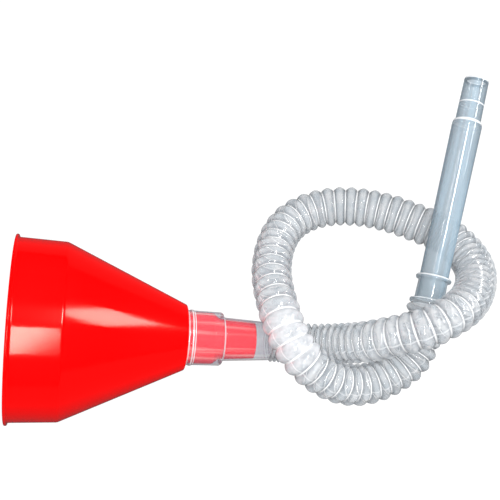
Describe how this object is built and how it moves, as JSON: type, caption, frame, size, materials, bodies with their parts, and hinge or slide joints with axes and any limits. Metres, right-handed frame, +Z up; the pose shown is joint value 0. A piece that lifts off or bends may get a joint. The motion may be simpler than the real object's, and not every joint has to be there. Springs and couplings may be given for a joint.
{
  "type": "funnel",
  "caption": "Wide-mouth pouring funnel with a clear corrugated filling hose pushed onto its spout and a straight filling nozzle at the far end.",
  "frame": {"origin": "on the table, under the middle of the funnel's own length and width (the hose and nozzle not counted), with the funnel lying on the lower corner of its wall", "axes": "+Z up from the table; +X along the table from the funnel's mouth towards its spout; the funnel's axis lies in the XZ plane and slopes 15.5 degrees down towards +X"},
  "size_m": [0.3714, 0.2572, 0.1363],
  "materials": {
    "red_plastic": "glossy injection-moulded polypropylene, saturated red",
    "clear_plastic": "clear to slightly milky blow-moulded plastic with a faint blue-grey cast",
    "filter_cloth": "fine woven nylon"
  },
  "bodies": {
    "funnel": {"funnel_body": "red_plastic"},
    "strainer": {"strainer_ring": "red_plastic", "strainer_mesh": "filter_cloth"},
    "hose": {"inlet_cuff": "clear_plastic", "hose": "clear_plastic", "outlet_cuff": "clear_plastic"},
    "nozzle": {"nozzle": "clear_plastic"}
  },
  "joints": [
    {"name": "hose_pull", "type": "slide", "parent": "funnel", "child": "hose", "axis": [0.9636, 0, -0.2672], "range_m": [0, 0.06]},
    {"name": "strainer_lift", "type": "slide", "parent": "funnel", "child": "strainer", "axis": [-0.9636, 0, 0.2672], "range_m": [0, 0.135]},
    {"name": "nozzle_pull", "type": "slide", "parent": "hose", "child": "nozzle", "axis": [0.2686, 0.9366, 0.225], "range_m": [0, 0.03]}
  ]
}
